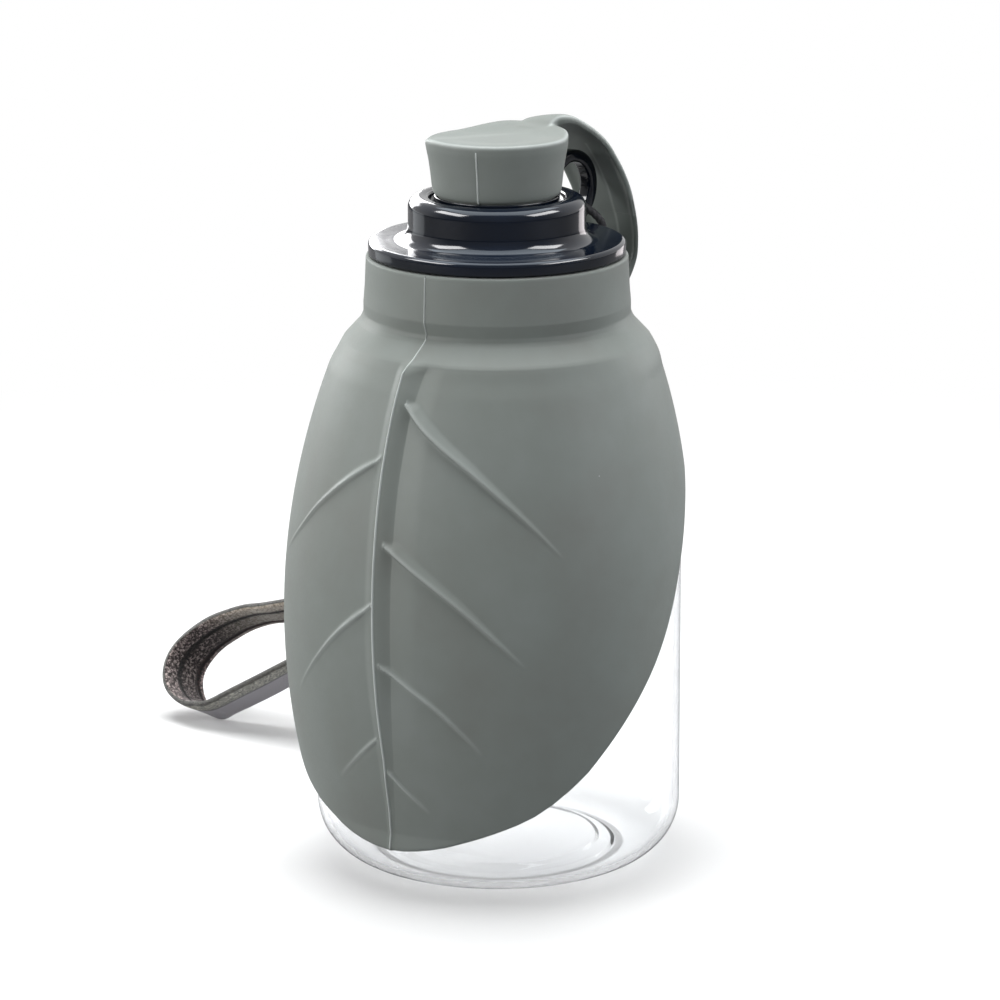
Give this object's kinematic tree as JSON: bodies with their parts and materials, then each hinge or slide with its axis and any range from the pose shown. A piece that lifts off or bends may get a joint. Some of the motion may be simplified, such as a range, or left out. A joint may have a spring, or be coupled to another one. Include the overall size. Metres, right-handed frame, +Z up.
{
  "type": "pet travel water bottle",
  "caption": "Dog travel water bottle: squeeze bottle with a folded silicone leaf bowl, a navy screw cap with an eye ring, a tethered stopper and a wrist lanyard.",
  "frame": {"origin": "on the bottle's axis, at the plane its foot stands on", "axes": "+Z up along the bottle's axis; the folded leaf's tip points to -Y; the stopper's strap and the eye ring lie 4 degrees from +Y towards +X; the lanyard hangs to -X"},
  "size_m": [0.1505, 0.0899, 0.1452],
  "materials": {
    "clear_bottle": "clear gloss plastic",
    "grey_silicone": "soft matte silicone",
    "navy_plastic": "satin gloss",
    "seal_silicone": "matte silicone",
    "dark_cord": "woven",
    "grey_webbing": "velvety woven"
  },
  "bodies": {
    "bottle_body": {"bottle": "clear_bottle", "leaf_bowl": "grey_silicone", "strap_foot": "grey_silicone"},
    "seal": {"cap_seal": "seal_silicone"},
    "cap": {"screw_cap": "navy_plastic", "lanyard_cord": "dark_cord", "lanyard_webbing": "grey_webbing"},
    "plug": {"stopper": "grey_silicone"}
  },
  "joints": [
    {"name": "cap_lift", "type": "slide", "parent": "bottle_body", "child": "seal", "axis": [0, 0, 1], "range_m": [0, 0.008]},
    {"name": "cap_turn", "type": "hinge", "parent": "seal", "child": "cap", "pos_m": [0, 0, 0.12], "axis": [0, 0, 1], "range_deg": [0, 720], "deforming": ["lanyard_cord", "lanyard_webbing"]},
    {"name": "plug_swing", "type": "hinge", "parent": "seal", "child": "plug", "pos_m": [0.00247, 0.03533, 0.1275], "axis": [-0.9976, 0.0698, 0], "range_deg": [0, 115]}
  ],
  "couplings": [
    {"joint": "cap_lift", "follows": "cap_turn", "m_per_rad": 0.00063662}
  ]
}
